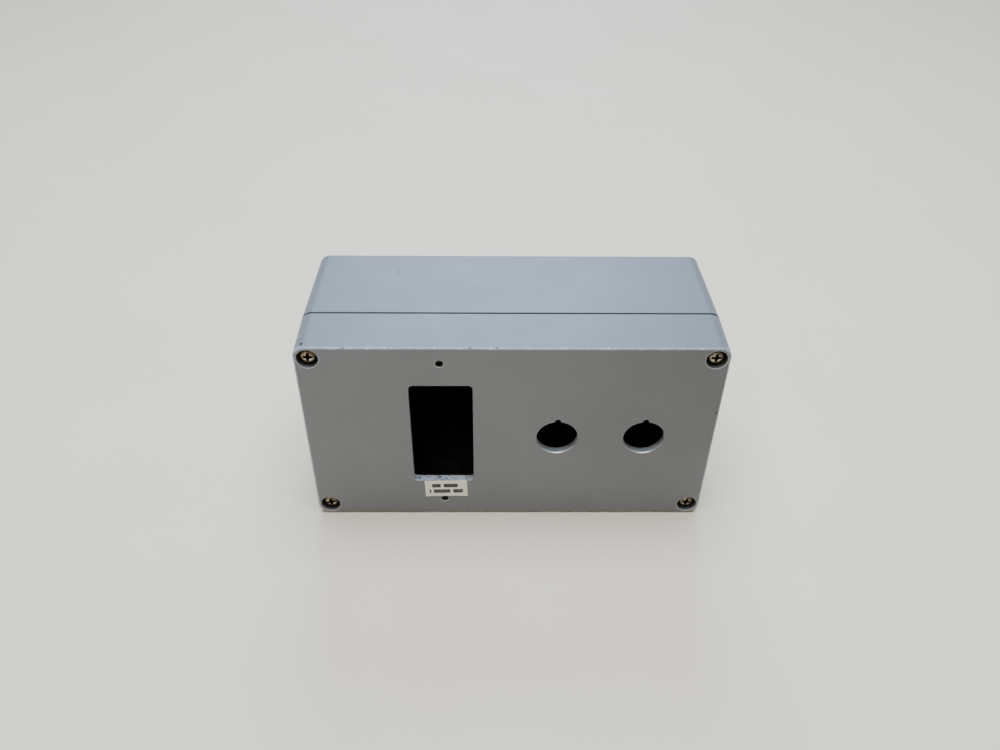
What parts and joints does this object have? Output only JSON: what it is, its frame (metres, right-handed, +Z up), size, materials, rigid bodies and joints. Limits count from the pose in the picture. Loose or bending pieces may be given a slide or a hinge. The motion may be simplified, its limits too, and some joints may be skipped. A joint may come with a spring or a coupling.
{
  "type": "magnetic motor starter enclosure",
  "caption": "Grey die-cast box for a magnetic motor starter: screwed lid with a receptacle cut-out and push-button holes, contactor on a rail inside.",
  "frame": {"origin": "middle of the long lower side's bounding box, half-way between the lid's face and the back", "axes": "+X along the length to the right as the lid is faced, -Y out of the lid's front, +Z up"},
  "size_m": [0.22, 0.0902, 0.12],
  "materials": {
    "painted_aluminium": "satin",
    "seal_rubber": "matte",
    "label_paper": "matte",
    "zinc_screw": "satin",
    "bright_steel": "satin",
    "nylon": "satin",
    "dark_plastic": "satin",
    "pale_plastic": "satin",
    "brass": "satin",
    "copper": "satin"
  },
  "bodies": {
    "enclosure": {"base": "painted_aluminium", "coil_bobbin": "nylon", "coil_terminal_lower": "brass", "coil_terminal_upper": "brass", "coil_winding": "copper", "contact_strap_left_lower": "brass", "contact_strap_left_upper": "brass", "contact_strap_middle_lower": "brass", "contact_strap_middle_upper": "brass", "contact_strap_right_lower": "brass", "contact_strap_right_upper": "brass", "contactor_cover": "pale_plastic", "contactor_housing": "dark_plastic", "earth_screw": "brass", "earth_washer": "bright_steel", "fixed_core": "bright_steel", "mounting_rail": "bright_steel", "rail_screw_left": "zinc_screw", "rail_screw_right": "zinc_screw", "return_spring_lower": "bright_steel", "return_spring_upper": "bright_steel", "terminal_screw_coil_lower": "bright_steel", "terminal_screw_coil_upper": "bright_steel", "terminal_screw_left_lower": "bright_steel", "terminal_screw_left_upper": "bright_steel", "terminal_screw_middle_lower": "bright_steel", "terminal_screw_middle_upper": "bright_steel", "terminal_screw_right_lower": "bright_steel", "terminal_screw_right_upper": "bright_steel"},
    "lid": {"lid": "painted_aluminium", "lid_seal": "seal_rubber", "rating_label": "label_paper"},
    "contact_carrier": {"armature": "bright_steel", "contact_carrier": "dark_plastic", "contact_bridge_left": "copper", "contact_bridge_middle": "copper", "contact_bridge_right": "copper"},
    "rail_clip": {"rail_clip": "pale_plastic"},
    "captive_ring_top_left": {"captive_ring_top_left": "nylon"},
    "lid_screw_top_left": {"lid_screw_top_left": "zinc_screw"},
    "captive_ring_top_right": {"captive_ring_top_right": "nylon"},
    "lid_screw_top_right": {"lid_screw_top_right": "zinc_screw"},
    "captive_ring_bottom_left": {"captive_ring_bottom_left": "nylon"},
    "lid_screw_bottom_left": {"lid_screw_bottom_left": "zinc_screw"},
    "captive_ring_bottom_right": {"captive_ring_bottom_right": "nylon"},
    "lid_screw_bottom_right": {"lid_screw_bottom_right": "zinc_screw"}
  },
  "joints": [
    {"name": "lid_lift", "type": "slide", "parent": "enclosure", "child": "lid", "axis": [0, -1, 0], "range_m": [0, 0.12]},
    {"name": "screw_travel_top_left", "type": "slide", "parent": "lid", "child": "captive_ring_top_left", "axis": [0, -1, 0], "range_m": [0, 0.0056]},
    {"name": "screw_turn_top_left", "type": "hinge", "parent": "captive_ring_top_left", "child": "lid_screw_top_left", "pos_m": [-0.1025, -0.0403, 0.1126], "axis": [0, -1, 0], "range_deg": [0, 2520]},
    {"name": "screw_travel_top_right", "type": "slide", "parent": "lid", "child": "captive_ring_top_right", "axis": [0, -1, 0], "range_m": [0, 0.0056]},
    {"name": "screw_turn_top_right", "type": "hinge", "parent": "captive_ring_top_right", "child": "lid_screw_top_right", "pos_m": [0.1025, -0.0403, 0.1126], "axis": [0, -1, 0], "range_deg": [0, 2520]},
    {"name": "screw_travel_bottom_left", "type": "slide", "parent": "lid", "child": "captive_ring_bottom_left", "axis": [0, -1, 0], "range_m": [0, 0.0056]},
    {"name": "screw_turn_bottom_left", "type": "hinge", "parent": "captive_ring_bottom_left", "child": "lid_screw_bottom_left", "pos_m": [-0.1025, -0.0403, 0.0074], "axis": [0, -1, 0], "range_deg": [0, 2520]},
    {"name": "screw_travel_bottom_right", "type": "slide", "parent": "lid", "child": "captive_ring_bottom_right", "axis": [0, -1, 0], "range_m": [0, 0.0056]},
    {"name": "screw_turn_bottom_right", "type": "hinge", "parent": "captive_ring_bottom_right", "child": "lid_screw_bottom_right", "pos_m": [0.1025, -0.0403, 0.0074], "axis": [0, -1, 0], "range_deg": [0, 2520]},
    {"name": "contact_travel", "type": "slide", "parent": "enclosure", "child": "contact_carrier", "axis": [0, 1, 0], "range_m": [0, 0.0034], "stiffness_N_per_m": 300, "springref_m": -0.002, "deforming": ["return_spring_upper", "return_spring_lower"]},
    {"name": "rail_clip_slide", "type": "slide", "parent": "enclosure", "child": "rail_clip", "axis": [0, 0, -1], "range_m": [0, 0.0032], "stiffness_N_per_m": 400, "springref_m": -0.002}
  ],
  "couplings": [
    {"joint": "screw_turn_top_left", "follows": "screw_travel_top_left", "rad_per_m": 7854},
    {"joint": "screw_turn_top_right", "follows": "screw_travel_top_right", "rad_per_m": 7854},
    {"joint": "screw_turn_bottom_left", "follows": "screw_travel_bottom_left", "rad_per_m": 7854},
    {"joint": "screw_turn_bottom_right", "follows": "screw_travel_bottom_right", "rad_per_m": 7854}
  ]
}
